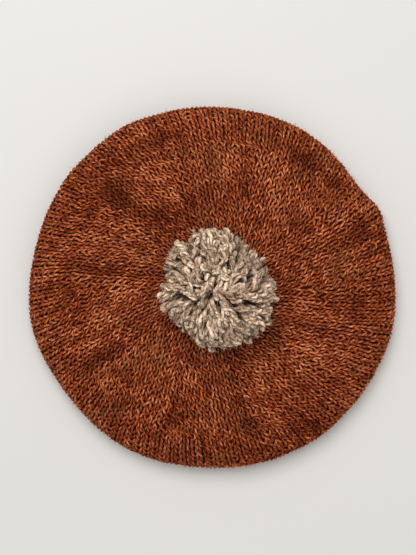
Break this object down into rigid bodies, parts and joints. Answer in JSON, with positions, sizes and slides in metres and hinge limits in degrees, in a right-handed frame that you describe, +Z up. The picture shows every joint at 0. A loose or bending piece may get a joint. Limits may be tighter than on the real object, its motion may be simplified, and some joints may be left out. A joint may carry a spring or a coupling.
{
  "type": "knit beret",
  "caption": "Round hand-knitted wool beret in rust stockinette with a ribbed head band and an oatmeal wool pompom, lying on its opening.",
  "frame": {"origin": "centre of the head opening, on the table that the beret lies on", "axes": "+Z up through the pompom, +Y towards the top of the outline as the picture shows it from above, +X to its right"},
  "size_m": [0.2718, 0.2678, 0.0948],
  "materials": {
    "rust_wool": "matte knitted wool",
    "rust_rib": "matte ribbed wool",
    "oatmeal_wool": "matte cut wool ends",
    "tie_yarn": "matte wool yarn"
  },
  "bodies": {
    "root": {"crown": "rust_wool", "body": "rust_wool", "band": "rust_rib", "pompom": "oatmeal_wool", "pompom_tie": "tie_yarn"}
  },
  "joints": []
}
